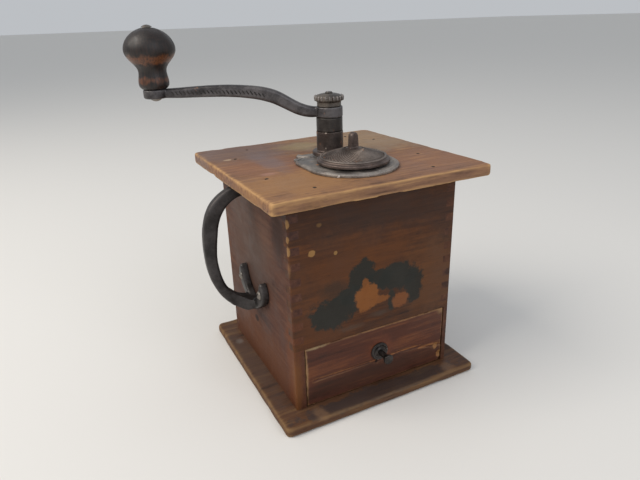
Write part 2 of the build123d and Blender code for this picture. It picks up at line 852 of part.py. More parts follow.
def handle_profile():
    """Side outline of the C-shaped grip, in the plane y = 0."""
    outer = Spline(
        (-84.5, 0, box_top),
        (-95, 0, 174.3),
        (-106, 0, 165.5),
        (-113, 0, 150),
        (-115.2, 0, 128),
        (-112.6, 0, 105),
        (-104, 0, 84.6),
        (-92, 0, 73),
        (handle_root_x, 0, 66.6),
    )
    inner = Spline(
        (handle_root_x, 0, 77),
        (-88, 0, 82.5),
        (-97.5, 0, 91),
        (-103.4, 0, 106),
        (-105, 0, 122),
        (-103.2, 0, 138),
        (-98, 0, 156),
        (-90, 0, 165),
        (handle_root_x, 0, 169.2),
    )
    corner = (handle_root_x, 0, box_top)
    return make_face(
        [
            outer,
            Line(outer @ 1, inner @ 0),
            inner,
            Line(inner @ 1, corner),
            Line(corner, outer @ 0),
        ]
    )


def handle_bow():
    """C-shaped grip with its long edges rounded."""
    bow = extrude(handle_profile(), handle_width / 2, dir=(0, 1, 0), both=True)
    long_edges = [e for e in bow.edges() if e.length > 80]
    return fillet(long_edges, handle_edge_radius)


def fork_half(sign):
    """One arm of the fork, drawn on the panel."""
    lower = Spline(
        (0, 0, 66.0),
        (0, sign * 8, 69.2),
        (0, sign * 18.6, 76.0),
        (0, sign * 26.6, 83.4),
        (0, sign * 28.4, 90.0),
        (0, sign * 25.6, 97.2),
    )
    upper = Spline(
        (0, sign * 20.4, 97.4),
        (0, sign * 17.4, 91.0),
        (0, sign * 10.4, 82.4),
        (0, 0, 77.0),
    )
    tip = ThreePointArc((0, sign * 25.6, 97.2), (0, sign * 23.2, 99.6), (0, sign * 20.4, 97.4))
    return make_face([lower, tip, upper, Line((0, 0, 77.0), (0, 0, 66.0))])


def handle_foot():
    """Flat fork against the panel: two arms that curl up to a round end."""
    arms = []
    for sign in (-1, 1):
        arm = extrude(fork_half(sign), handle_foot_thickness, dir=(-1, 0, 0))
        outer_face = arm.faces().sort_by(Axis.X)[0]
        edges = [e for e in outer_face.edges() if abs(e.center().Y) > 2]
        arms.append(fillet(edges, 2.0))
    return Pos(-half_box, 0, 0) * (arms[0] + arms[1])


def handle_flare():
    """Web that spreads the grip's lower end into the fork."""
    wide_grip = extrude(handle_profile(), 20, dir=(0, 1, 0), both=True)
    half = handle_width / 2
    edge = [(-98, half), (-88, half + 1.2), (-81, half + 5.0), (handle_root_x, half + 11.5)]
    near = Spline(*[(x, y, 0) for x, y in edge])
    far = Spline(*[(x, -y, 0) for x, y in reversed(edge)])
    plan = make_face([near, Line(near @ 1, far @ 0), far, Line(far @ 1, near @ 0)])
    spread = Pos(0, 0, 60) * extrude(plan, 30)
    rising = [(0, 66.0), (22, 78.0), (22, 100), (-22, 100), (-22, 78.0)]
    slope = make_face(Polyline(*[(0, y, z) for y, z in rising], close=True))
    above = Pos(-70, 0, 0) * extrude(slope, 40, dir=(-1, 0, 0))
    return wide_grip & spread & above


def handle_lug():
    """Small flat lug under the top board's overhang."""
    outline = Rectangle(10.6, 28)
    lug = extrude(outline, 3.2)
    lug = fillet(lug.edges().filter_by(Axis.Z), 3.5)
    return Pos(-half_box - 5.3, 0, box_top - 3.2) * lug


def handle_screw_solids():
    screws = []
    for sign in (-1, 1):
        place = Pos(-half_box - handle_foot_thickness, sign * handle_foot_screw_y, handle_foot_screw_z)
        foot = place * Rot(0, -90, 0)
        screws.append(foot * Rot(0, 0, 20 * sign) * screw(3.6, 1.8, 1.7, 13))
        lug = Pos(-half_box - 5.4, sign * 9.4, box_top - 3.2) * Rot(180, 0, 0)
        screws.append(lug * screw(3.0, 1.8, 1.5, 10))
    return screws


def make_side_handle(screws):
    return handle_bow() + handle_flare() + handle_foot() + handle_lug() - screws


# ---------------------------------------------------------------- all nodes


def build_nodes():
    top_nails = make_top_nails()
    base_nails = make_base_nails()
    drawer_nails = make_drawer_nails()
    handle_screws = group(handle_screw_solids())
    bolt_solids = group(plate_bolt_cutter())
    drawer_bottom = make_drawer_bottom()
    burr_pin = make_burr_pin()
    panel_fasteners = [top_nails, base_nails, handle_screws]
    return {
        "base_board": make_base_board(base_nails),
        "top_board": make_top_board([top_nails, handle_screws], bolt_solids),
        "front_panel": make_end_panel(-1, drawer_opening_top, panel_fasteners),
        "back_panel": make_end_panel(1, box_floor, panel_fasteners),
        "left_panel": make_side_panel(-1, panel_fasteners),
        "right_panel": make_side_panel(1, panel_fasteners),
        "top_nails": top_nails,
        "base_nails": base_nails,
        "side_handle": make_side_handle(handle_screws),
        "handle_screws": handle_screws,
        "cover_plate": make_cover_plate(),
        "plate_bolts": make_plate_bolts(),
        "bolt_nuts": make_bolt_nuts(),
        "tower_collar": make_tower_collar(),
        "hopper_lid": make_hopper_lid(),
        "hopper_bowl": make_hopper_bowl() - make_bridge_screws(),
        "outer_burr": make_outer_burr(),
        "inner_burr": make_inner_burr(burr_pin),
        "burr_pin": burr_pin,
        "main_shaft": make_main_shaft(burr_pin),
        "shaft_bridge": make_bridge(),
        "bridge_screws": make_bridge_screws(),
        "crank_arm": make_crank_arm(),
        "crank_knob": make_crank_knob(),
        "knob_spindle": make_knob_spindle(),
        "adjusting_nut": make_adjusting_nut(),
        "drawer_front": make_drawer_front(drawer_bottom, drawer_nails),
        "drawer_left_side": make_drawer_side(-1, drawer_bottom, drawer_nails),
        "drawer_right_side": make_drawer_side(1, drawer_bottom, drawer_nails),
        "drawer_back": make_drawer_back(drawer_nails),
        "drawer_bottom": drawer_bottom,
        "drawer_nails": drawer_nails,
        "drawer_rosette": make_drawer_rosette(),
        "drawer_knob": make_drawer_knob(),
        "drawer_knob_nut": make_drawer_knob_nut(),
    }


os.makedirs("parts", exist_ok=True)
for node_name, node_shape in build_nodes().items():
    export_step(node_shape, f"parts/{node_name}.step")
    print(node_name, round(node_shape.volume, 1))
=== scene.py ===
import json
import math
import bmesh
import bpy
import numpy as np
from mathutils import Matrix, Vector


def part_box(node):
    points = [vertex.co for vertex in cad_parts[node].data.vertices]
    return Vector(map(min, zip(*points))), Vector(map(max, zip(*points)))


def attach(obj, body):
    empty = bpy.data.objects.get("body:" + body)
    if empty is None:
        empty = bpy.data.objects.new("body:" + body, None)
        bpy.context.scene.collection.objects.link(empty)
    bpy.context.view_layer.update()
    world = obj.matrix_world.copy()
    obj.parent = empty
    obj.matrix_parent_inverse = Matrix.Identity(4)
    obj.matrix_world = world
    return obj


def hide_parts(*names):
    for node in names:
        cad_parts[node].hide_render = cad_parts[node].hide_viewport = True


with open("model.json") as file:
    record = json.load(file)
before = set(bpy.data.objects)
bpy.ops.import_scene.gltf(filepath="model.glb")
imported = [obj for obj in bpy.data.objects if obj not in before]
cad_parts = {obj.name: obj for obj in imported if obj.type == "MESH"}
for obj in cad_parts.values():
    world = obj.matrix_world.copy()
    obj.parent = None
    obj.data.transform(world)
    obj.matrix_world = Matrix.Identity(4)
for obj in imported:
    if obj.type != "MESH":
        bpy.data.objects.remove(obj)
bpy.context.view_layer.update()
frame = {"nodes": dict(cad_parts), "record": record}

# ------------------------------------------------------------------ camera
# The viewpoint stands in front of the drawer's left corner and looks down on
# the top board, close enough for clear perspective. It leans a little.
camera_place = Vector((-0.2056, -0.3929, 0.2961))
camera_azimuth = math.radians(-26.21)
camera_elevation = math.radians(22.37)
camera_roll = math.radians(-1.91)

backwards = Vector((
    math.sin(camera_azimuth) * math.cos(camera_elevation),
    -math.cos(camera_azimuth) * math.cos(camera_elevation),
    math.sin(camera_elevation),
))
level_right = (-backwards).cross(Vector((0, 0, 1))).normalized()
level_up = level_right.cross(-backwards)
right = math.cos(camera_roll) * level_right + math.sin(camera_roll) * level_up
upwards = -math.sin(camera_roll) * level_right + math.cos(camera_roll) * level_up
camera_data = bpy.data.cameras.new("viewpoint")
camera_data.sensor_width = 36
camera_data.lens = 30.34
camera_data.clip_start = 0.01
camera = bpy.data.objects.new("viewpoint", camera_data)
camera_turn = Matrix((right, upwards, backwards)).transposed().to_4x4()
camera.matrix_world = Matrix.Translation(camera_place) @ camera_turn
bpy.context.scene.collection.objects.link(camera)
bpy.context.scene.camera = camera
bpy.context.scene.view_settings.view_transform = "Standard"

# ------------------------------------------------------------------ studio
# A plain pale floor under soft light: a broad window-like lamp on the left,
# a weaker one in front, and an even pale surround that fills the shadows.


def linear(hex_colour):
    """An sRGB hex colour as linear red, green, blue and alpha."""
    parts = [int(hex_colour[i:i + 2], 16) / 255 for i in (1, 3, 5)]
    return [c / 12.92 if c <= 0.04045 else ((c + 0.055) / 1.055) ** 2.4 for c in parts] + [1.0]


def node(tree, kind, settings=None, **inputs):
    """Adds a node, sets its settings and fills its inputs with values or links.

    An input is named by its socket's name with underscores, or in_N by number.
    """
    made = tree.nodes.new(kind)
    for key, value in (settings or {}).items():
        setattr(made, key, value)
    for key, value in inputs.items():
        place = int(key[3:]) if key.startswith("in_") else key.replace("_", " ")
        socket = made.inputs[place]
        if isinstance(value, bpy.types.NodeSocket):
            tree.links.new(value, socket)
        else:
            socket.default_value = value
    return made


def new_material(name):
    """An empty node material with its shader already joined to the output."""
    material = bpy.data.materials.new(name)
    material.use_nodes = True
    tree = material.node_tree
    tree.nodes.clear()
    shader = node(tree, "ShaderNodeBsdfPrincipled")
    node(tree, "ShaderNodeOutputMaterial", Surface=shader.outputs["BSDF"])
    return material, tree, shader


floor_mesh = bpy.data.meshes.new("floor")
floor_reach = 30.0
floor_mesh.from_pydata(
    [(-floor_reach, -floor_reach, 0), (floor_reach, -floor_reach, 0),
     (floor_reach, floor_reach, 0), (-floor_reach, floor_reach, 0)],
    [], [(0, 1, 2, 3)])
floor = bpy.data.objects.new("floor", floor_mesh)
bpy.context.scene.collection.objects.link(floor)
# Matt and nearly white, so that it takes soft shadows and shows no reflection.
floor_paint, floor_tree, floor_shader = new_material("matt pale floor")
floor_shader.inputs["Base Color"].default_value = linear("#dedcd8")
floor_shader.inputs["Roughness"].default_value = 0.9
floor_mesh.materials.append(floor_paint)


def soft_lamp(name, place, size, watts, colour):
    """A square area lamp aimed at the middle of the mill."""
    lamp_data = bpy.data.lights.new(name, "AREA")
    lamp_data.size = size
    lamp_data.energy = watts
    lamp_data.color = linear(colour)[:3]
    lamp = bpy.data.objects.new(name, lamp_data)
    lamp.location = place
    aim = Vector((0, 0, 0.12)) - Vector(place)
    lamp.rotation_euler = aim.to_track_quat("-Z", "Y").to_euler()
    bpy.context.scene.collection.objects.link(lamp)


soft_lamp("window", (-1.3, 0.1, 1.5), 1.2, 26, "#fff8ee")
soft_lamp("front fill", (0.3, -1.8, 1.2), 1.5, 12, "#f4f7ff")
surround = bpy.data.worlds.new("pale surround")
surround.use_nodes = True
surround.node_tree.nodes["Background"].inputs["Color"].default_value = linear("#e9edf2")
surround.node_tree.nodes["Background"].inputs["Strength"].default_value = 0.62
bpy.context.scene.world = surround

# ------------------------------------------------------------------ top board
# A softwood board with its grain running left to right, nailed down by hand
# onto the box. Its arrises are rubbed pale and chipped, its face is uneven
# and blotched, and the old finish survives only as brown and grey stains.
mm = 0.001


def cad_copy(name):
    """A CAD node's mesh as a new object, with its seams closed."""
    mesh = frame["nodes"][name].data.copy()
    shape = bmesh.new()
    shape.from_mesh(mesh)
    bmesh.ops.remove_doubles(shape, verts=shape.verts, dist=1e-6)
    bmesh.ops.dissolve_limit(shape, angle_limit=math.radians(0.5), verts=shape.verts, edges=shape.edges)
    bmesh.ops.recalc_face_normals(shape, faces=shape.faces)
    shape.to_mesh(mesh)
    shape.free()
    mesh.materials.clear()
    piece = bpy.data.objects.new("visual_" + name, mesh)
    bpy.context.scene.collection.objects.link(piece)
    return piece


def applied(piece):
    """Turns a piece with modifiers into the plain mesh that they make."""
    graph = bpy.context.evaluated_depsgraph_get()
    mesh = bpy.data.meshes.new_from_object(piece.evaluated_get(graph))
    piece.modifiers.clear()
    piece.data = mesh
    return piece


def remeshed(piece, voxel, smoothing=0):
    """An even small-faced skin over a piece, with its edges softened."""
    skin = piece.modifiers.new("skin", "REMESH")
    skin.mode = "VOXEL"
    skin.voxel_size = voxel
    skin.use_smooth_shade = True
    if smoothing:
        ease = piece.modifiers.new("ease", "SMOOTH")
        ease.factor = 0.5
        ease.iterations = smoothing
    return applied(piece)


def soft_noise(points, size, seed):
    """Smooth noise from -1 to 1 at each point, with cells of the given size."""
    grid = points / size + seed * 17.13
    cell = np.floor(grid).astype(np.int64)
    part = grid - cell
    part = part * part * (3 - 2 * part)
    total = np.zeros(len(points))
    for corner in np.ndindex(2, 2, 2):
        key = (cell + corner) @ np.array([73856093, 19349663, 83492791])
        key = (key ^ (key >> 13)) * 1274126177
        value = ((key ^ (key >> 16)) & 0xFFFF) / 32767.5 - 1
        total += value * np.prod(np.where(corner, part, 1 - part), axis=1)
    return total


def sunk(piece, depth):
    """Moves each point of a mesh inwards by depth(points), in metres."""
    mesh = piece.data
    points = np.empty(len(mesh.vertices) * 3)
    normals = np.empty(len(mesh.vertices) * 3)
    mesh.vertices.foreach_get("co", points)
    mesh.vertex_normals.foreach_get("vector", normals)
    points = points.reshape(-1, 3)
    normals = normals.reshape(-1, 3)
    points = points - normals * np.clip(depth(points), 0, None)[:, None]
    mesh.vertices.foreach_set("co", points.ravel())
    mesh.update()


def uneven(spacing, deep, seed, stretch=(1, 1, 1)):
    """Depth of soft shallow dips in a skin, from their spacing and depth in mm."""
    return lambda points: (1 + soft_noise(points * stretch, spacing * mm, seed)) * deep * mm


def board_wear(outline, low, high, seed, dents):
    """Depth of wear on a board: chipped edges, an uneven face and dents."""
    corners = np.array(outline) * mm
    worn_width = 2.0 * mm
    chip_spacing, chip_depth = 13 * mm, 1.5 * mm
    nibble_spacing, nibble_depth = 4.5 * mm, 0.35 * mm
    wave_spacing, wave_depth = 9 * mm, 0.12 * mm
    along_grain = (0.25, 1, 1)

    def depth(points):
        gap = np.full(len(points), 1.0)
        for start, end in zip(corners, np.roll(corners, -1, axis=0)):
            along = (end - start) / np.linalg.norm(end - start)
            inward = np.array((-along[1], along[0]))
            gap = np.minimum(gap, (points[:, :2] - start) @ inward)
        level = np.minimum(points[:, 2] - low, high - points[:, 2])
        arris = np.exp(-np.hypot(gap.clip(0), level.clip(0)) / worn_width)
        chips = np.clip(soft_noise(points, chip_spacing, seed) - 0.2, 0, 1) * chip_depth
        nibble = np.clip(soft_noise(points, nibble_spacing, seed + 3) - 0.1, 0, 1) * nibble_depth
        waves = (1 + soft_noise(points * along_grain, wave_spacing, seed + 5)) * wave_depth
        total = arris * (chips + nibble) + waves
        upper_face = points[:, 2] > (low + high) / 2
        for dent_x, dent_y, radius, deep in dents:
            away = np.hypot(points[:, 0] - dent_x * mm, points[:, 1] - dent_y * mm)
            total += np.exp(-(away / (radius * mm)) ** 2) * deep * mm * upper_face
        return total
    return depth


def speckle(tree, place, per_metre, detail=3.0, rough=0.55, stretch=(1, 1, 1), seed=0):
    """Noise with a number of grains to the metre, stretched along an axis."""
    moved = node(tree, "ShaderNodeMapping", Vector=place, Scale=stretch,
                 Location=(seed * 0.173, seed * 0.311, seed * 0.237)).outputs[0]
    return node(tree, "ShaderNodeTexNoise", Vector=moved, Scale=per_metre,
                Detail=detail, Roughness=rough).outputs[0]


def weighted(tree, layers):
    """The sum of several values, each times its share."""
    total = 0.0
    for value, share in layers:
        total = node(tree, "ShaderNodeMath", {"operation": "MULTIPLY_ADD"},
                     in_0=value, in_1=share, in_2=total).outputs[0]
    return total


def laid(tree, colour, value, low, high, hex_colour, strength=1.0):
    """Lays a second colour over the first where a value runs from low to high."""
    share = node(tree, "ShaderNodeMapRange", {"interpolation_type": "SMOOTHSTEP"},
                 Value=value, From_Min=low, From_Max=high, To_Max=strength).outputs[0]
    return node(tree, "ShaderNodeMix", {"data_type": "RGBA"},
                in_0=share, in_6=colour, in_7=linear(hex_colour)).outputs[2]


def stained(tree, colour, place, patches, seed):
    """Lays ragged patches over a colour. Each is centre and radii in mm, hex, strength.

    A strong patch has a crisp edge, like paint. A weak one fades out, like a stain.
    """
    tears_per_metre = 230
    lobes_per_metre = tears_per_metre / 4
    ragged = 1.2
    edge = 1 + ragged
    for count, (centre, radii, hex_colour, strength) in enumerate(patches):
        softness = 0.16 if strength > 0.8 else 0.55
        away = node(tree, "ShaderNodeVectorMath", {"operation": "SUBTRACT"},
                    in_0=place, in_1=[c * mm for c in centre]).outputs[0]
        scaled = node(tree, "ShaderNodeVectorMath", {"operation": "DIVIDE"},
                      in_0=away, in_1=[r * mm for r in radii]).outputs[0]
        reach = node(tree, "ShaderNodeVectorMath", {"operation": "LENGTH"}, in_0=scaled).outputs["Value"]
        tears = speckle(tree, place, tears_per_metre, 5, 0.65, seed=seed + count)
        lobes = speckle(tree, place, lobes_per_metre, 2, 0.5, seed=seed + count + 9)
        torn = weighted(tree, ((tears, ragged), (lobes, ragged), (reach, 1.0)))
        colour = laid(tree, colour, torn, edge + softness, edge - softness, hex_colour, strength)
    return colour


def old_wood(name, along, tones, seed, patches=(), worn=None, bump=1.0, gloss=0.62, banding=0.24,
             threads=210):
    """Old finished softwood, from its dark, middle and light tones.

    Streaks and fibres run along the grain, stains lie over them, the pores
    show dark through both, and the arrises are rubbed where the mesh is convex.
    """
    bands_per_metre, fibres_per_metre, blotches_per_metre = 62, 1300, 24
    drawn_out = 0.075
    grain = [1.0, 1.0, 1.0]
    grain["XYZ".index(along)] = drawn_out
    dark, middle, light = tones
    material, tree, shader = new_material(name)
    place = node(tree, "ShaderNodeTexCoord").outputs["Object"]
    streaks = speckle(tree, place, threads, 5, 0.62, grain, seed)
    bands = speckle(tree, place, bands_per_metre, 3, 0.5, grain, seed + 2)
    fibre = speckle(tree, place, fibres_per_metre, 3, 0.6, grain, seed + 4)
    blotch = speckle(tree, place, blotches_per_metre, 4, 0.6, seed=seed + 6)
    tone = weighted(tree, ((streaks, 0.42), (bands, banding), (blotch, 0.46 - banding), (fibre, 0.12)))
    colour = laid(tree, linear(dark), tone, 0.40, 0.50, middle)
    colour = laid(tree, colour, tone, 0.50, 0.62, light)
    colour = stained(tree, colour, place, patches, seed)
    colour = laid(tree, colour, fibre, 0.60, 0.72, "#22160f", 0.45)
    if worn:
        convex = node(tree, "ShaderNodeNewGeometry").outputs["Pointiness"]
        rubbed = weighted(tree, ((streaks, 0.06), (convex, 1.0)))
        colour = laid(tree, colour, rubbed, 0.53, 0.59, worn, 0.85)
    roughness = node(tree, "ShaderNodeMapRange", {"interpolation_type": "SMOOTHSTEP"}, Value=blotch,
                     From_Min=0.35, From_Max=0.65, To_Min=gloss - 0.1, To_Max=gloss + 0.14)
    relief = node(tree, "ShaderNodeBump", Strength=0.55 * bump, Distance=0.7 * mm,
                  Height=weighted(tree, ((fibre, 0.35), (streaks, 0.65))))
    shader.inputs["Specular IOR Level"].default_value = 0.28
    tree.links.new(colour, shader.inputs["Base Color"])
    tree.links.new(roughness.outputs[0], shader.inputs["Roughness"])
    tree.links.new(relief.outputs[0], shader.inputs["Normal"])
    return material


def finished(piece, material, body, slot, *replaced):
    """Gives a piece its material and body, and hides the nodes it stands for. The slot is not used."""
    piece.data.materials.clear()
    piece.data.materials.append(material)
    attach(piece, body)
    if replaced:
        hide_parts(*replaced)


top_outline = [(-89.8, -88.2), (96.6, -88.2), (88.4, 89.0), (-93.6, 87.6)]
top_low, top_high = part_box("top_board")[0][2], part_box("top_board")[1][2]
# Dents at the nails and a few knocks: x, y, radius and depth in mm.
top_dents = [
    (-71.2, -30, 3.0, 0.5), (-46.7, -67, 2.6, 0.45), (55.8, -62.5, 2.8, 0.45), (75.8, -28, 2.8, 0.4),
    (-71.3, 38.3, 2.8, 0.5), (-76, 42, 2.2, 0.35), (-23.3, -55.8, 2.4, 0.4), (-64, -20, 3.5, 0.3),
    (60, 20, 4.5, 0.25), (40, 70, 5, 0.25), (-30, 74, 4, 0.25),
]
# Tan, brown and grey stains, and bare wood at two knocks.
top_patches = [
    ((-52, -55, 187), (46, 30, 12), "#987049", 0.75),
    ((-50, 10, 187), (38, 30, 12), "#845c47", 0.7),
    ((-58, 62, 187), (46, 30, 12), "#76625c", 0.75),
    ((58, 45, 187), (46, 48, 12), "#8e7961", 0.75),
    ((62, -52, 187), (44, 34, 12), "#85604b", 0.6),
    ((-3, 55, 187), (17, 16, 12), "#917f5d", 0.7),
    ((-50, 16, 187), (9, 30, 12), "#716566", 0.55),
    ((-64, -20, 187), (7, 4, 5), "#ac857c", 0.35),
    ((-76, 42, 188), (3.5, 1.8, 4), "#bea68b", 0.85),
    ((-23.3, -55.8, 188), (3.2, 1.4, 4), "#bea68b", 0.85),
]
top_skin = 1.2 * mm
top_board = remeshed(cad_copy("top_board"), top_skin)
sunk(top_board, board_wear(top_outline, top_low, top_high, 3, top_dents))
# Worn varnish over a brown stain: dull, mottled from tan to plum grey, with
# short fine grain and bright tan wood along the arrises.
top_wood = old_wood("softwood board, worn varnish over brown stain", "X", ("#5b3f2f", "#7d5b45", "#9d7653"),
                    2, top_patches, banding=0.1, threads=330, worn="#c29865", bump=1.2)
finished(top_board, top_wood, "box", "top_board_wood", "top_board")

# ------------------------------------------------------------------ base board
# The wider foot of the mill, a sawn softwood board nailed up into the walls.
# Its top face lies in old grime, its front edge is rubbed orange-brown, and
# drawer scrapes have left light stripes near both ends of the front strip.
base_outline = [(-90.0, -91.5), (91.0, -91.5), (91.0, 89.0), (-90.0, 89.0)]
base_low, base_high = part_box("base_board")[0][2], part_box("base_board")[1][2]
# Knocks: x, y, radius and depth in mm.
base_dents = [(-80, 46, 4, 0.7), (-58, -83, 4, 0.25), (67, -84, 4.5, 0.25), (20, -86, 5, 0.3)]
# Grime along the front and the left, two scrape stripes and a grey knock.
base_patches = [
    ((0, -84, 8), (82, 9, 2.6), "#3b302d", 0.82),
    ((-59, -85, 8), (4.5, 7, 3), "#795c44", 0.5),
    ((67, -85, 8), (5, 7, 3), "#795c44", 0.5),
    ((-82, 10, 8), (9, 70, 3), "#4f4039", 0.6),
    ((-80, 46, 8), (3, 4, 3), "#7b746e", 0.45),
]
base_skin = 1.25 * mm
base_board = remeshed(cad_copy("base_board"), base_skin)
sunk(base_board, board_wear(base_outline, base_low, base_high, 8, base_dents))
# Stain under grime: darker and duller than the top, with wide plain bands
# of grain and its edges rubbed back to orange-brown.
base_wood = old_wood("softwood base, rubbed stain and grime", "X", ("#37251c", "#543724", "#6d5033"),
                     9, base_patches, worn="#7e613e", bump=1.1)
finished(base_board, base_wood, "box", "base_board_wood", "base_board")

# ------------------------------------------------------------------ box walls
# Four flat softwood walls with finger joints at the corners, under a dark
# stained varnish. The front carries what is left of a black painted label,
# and the left wall is greyed and darker at the front near the top.


def skinned(names, material):
    """Gives carried-over CAD nodes their material."""
    for name in names:
        mesh = frame["nodes"][name].data
        mesh.materials.clear()
        mesh.materials.append(material)


# The walls' outer faces lie 73.3 mm from the middle.
front = -73.3
# Black paint, then the bare wood where it flaked, faint traces below it and
# three tan spots above it.
label = [
    ((-36, front, 106), (13, 9, 8), "#2c251e", 0.6),
    ((-37, front, 88), (19, 9, 13), "#23241f", 0.95),
    ((-24, front, 98), (11, 9, 8), "#23241f", 0.95),
    ((-13, front, 112), (11, 9, 12.5), "#23241f", 0.95),
    ((3, front, 106), (12, 9, 8.5), "#23241f", 0.95),
    ((20, front, 104), (18, 9, 11), "#23241f", 0.95),
    ((36, front, 93), (9, 9, 16), "#24241f", 0.95),
    ((14, front, 84), (4, 9, 10), "#26251f", 0.9),
    ((-9, front, 92), (9.5, 6, 10), "#824e22", 0.9),
    ((-10, front, 103), (3.5, 6, 7), "#7c491f", 0.85),
    ((2, front, 87), (10, 6, 3), "#7c491f", 0.85),
    ((23, front, 82), (8.5, 6, 6.5), "#794724", 0.85),
    ((3, front, 75), (9, 5, 2.5), "#4b4037", 0.5),
    ((-22, front, 69), (10, 5, 2.5), "#4b4037", 0.5),
    ((-55.5, front, 140.3), (2.4, 3, 2.4), "#9a7342", 0.82),
    ((-35.8, front, 136.5), (1.4, 3, 1.4), "#94703f", 0.82),
    ((-48.7, front, 161), (1.6, 3, 1.2), "#75552f", 0.6),
]
# Finger joints and the foot of the corner, rubbed to bare wood.
corner_wear = [
    ((-75, front, 166), (3, 3, 4.5), "#8f6c42", 0.9),
    ((-75, front, 154), (2.6, 3, 3.2), "#8a673e", 0.85),
    ((-75, front, 145), (3.0, 3, 5), "#8f6c42", 0.9),
    ((-75, front, 131), (2.4, 3, 6), "#7f5c38", 0.75),
    ((-75, front, 117), (1.8, 3, 2.2), "#85633c", 0.7),
    ((-75, front, 99), (1.8, 3, 2.2), "#85633c", 0.7),
    ((-73, front, 30), (5, 5, 26), "#6b421f", 0.75),
]
# A painted shadow along the top, under the top board's overhang, and broad darker and warmer areas of the
# varnish.
front_shadow_and_tones = [
    ((0, front, 165), (80, 9, 20), "#362014", 0.7),
    ((-20, front, 120), (52, 9, 26), "#5d3415", 0.6),
    ((-50, front, 78), (26, 9, 26), "#5e3415", 0.5),
    ((62, front, 110), (18, 9, 62), "#3a2216", 0.2),
    ((56, front, 96), (26, 9, 34), "#633e22", 0.6),
]
# Dark varnish, streaked orange-brown where it is thin, under a flat black
# label with bare orange wood where the paint has flaked away.
# A painted shadow darkens its top, under the top board's overhang.
front_wood = old_wood("softwood wall, dark varnish with a flaked black label", "X",
                      ("#2a170e", "#442715", "#5e3619"), 21, front_shadow_and_tones + label + corner_wear,
                      bump=0.8, gloss=0.56, banding=0.1, threads=300)
# Greyed middle, dark top corner, warm foot, and a small dark mark above the base.
left_tones = [
    ((-73, 10, 120), (9, 55, 44), "#554238", 0.65),
    ((-73, -56, 152), (9, 15, 18), "#2b1912", 0.8),
    ((-73, 0, 24), (9, 74, 26), "#58321a", 0.75),
    ((-73, -68, 50), (9, 9, 46), "#633517", 0.7),
    ((-73, 8, 51.5), (9, 4, 3), "#231610", 0.85),
    ((-73, 45, 70), (9, 26, 20), "#472b1f", 0.55),
]
# Greyed varnish: a dull haze over brown, warmer and redder near the base.
left_wood = old_wood("softwood wall, greyed brown varnish", "Y", ("#382019", "#4d2e22", "#614030"),
                     33, left_tones + corner_wear, bump=0.9, gloss=0.64, banding=0.1, threads=300)
# Plain brown varnish with the grain's wide bands showing through.
hidden_tones = ("#372016", "#503020", "#65412b")
right_wood = old_wood("softwood right wall, brown varnish", "Y", hidden_tones, 45, bump=0.9)
back_wood = old_wood("softwood back wall, brown varnish", "X", hidden_tones, 47, bump=0.9)
skinned(["front_panel"], front_wood)
skinned(["left_panel"], left_wood)
skinned(["right_panel"], right_wood)
skinned(["back_panel"], back_wood)

# ------------------------------------------------------------------ drawer
# A nailed softwood tray behind a thicker front board. The front is cracked
# along the grain, chipped on the right, and its lower right corner is gone.
drawer_skin = 0.62 * mm
drawer_front = remeshed(cad_copy("drawer_front"), drawer_skin)
crack_line = mm * np.array([
    (-57, 30.7), (-5, 30.7), (0.8, 29.5), (20, 31.7), (43, 29.5), (60, 25.3), (67, 25.3),
])
# Knocks in the face: x, z, radius and depth in mm.
face_knocks = ((62, 24, 3.0, 1.0), (65.8, 15.3, 2.4, 1.2), (0.8, 29.5, 1.2, 1.2), (-44, 14, 4, 0.2))
face_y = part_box("drawer_front")[0][1]


def crack_distance(points):
    """How far each point lies from the crack, seen from the front."""
    nearest = np.full(len(points), 1.0)
    flat = points[:, (0, 2)]
    for start, end in zip(crack_line[:-1], crack_line[1:]):
        run = end - start
        share = np.clip(((flat - start) @ run) / (run @ run), 0, 1)
        nearest = np.minimum(nearest, np.linalg.norm(flat - start - share[:, None] * run, axis=1))
    return nearest


def drawer_wear(points):
    """The crack, two chips, a pin hole, a dent and softened arrises."""
    crack_width, crack_depth = 0.75 * mm, 0.7 * mm
    edge_width, edge_depth = 1.1 * mm, 1.0 * mm
    low, high = (np.array(corner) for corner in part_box("drawer_front"))
    on_face = points[:, 1] < face_y + 1.2 * mm
    jitter = soft_noise(points, 4 * mm, 2) * 0.5 * mm
    total = np.exp(-((crack_distance(points) + jitter) / crack_width) ** 2) * crack_depth * on_face
    for x, z, radius, deep in face_knocks:
        away = np.hypot(points[:, 0] - x * mm, points[:, 2] - z * mm) + jitter
        total += np.exp(-(away / (radius * mm)) ** 2) * deep * mm * on_face
    side = np.minimum(points[:, 0] - low[0], high[0] - points[:, 0])
    upright = np.minimum(points[:, 2] - low[2], high[2] - points[:, 2])
    edge = np.exp(-np.minimum(side, upright).clip(0) / edge_width) * on_face
    total += edge * np.clip(soft_noise(points, 5 * mm, 7), 0, 1) * edge_depth
    return total + uneven(6, 0.05, 12)(points)


sunk(drawer_front, drawer_wear)
crack_patches = []
for (x0, z0), (x1, z1) in zip(crack_line[:-1] / mm, crack_line[1:] / mm):
    crack_patches.append((((x0 + x1) / 2, face_y / mm, (z0 + z1) / 2 + 0.5),
                          (abs(x1 - x0) / 2 + 1, 3, 0.55 + abs(z1 - z0) / 6), "#8f5c33", 0.85))
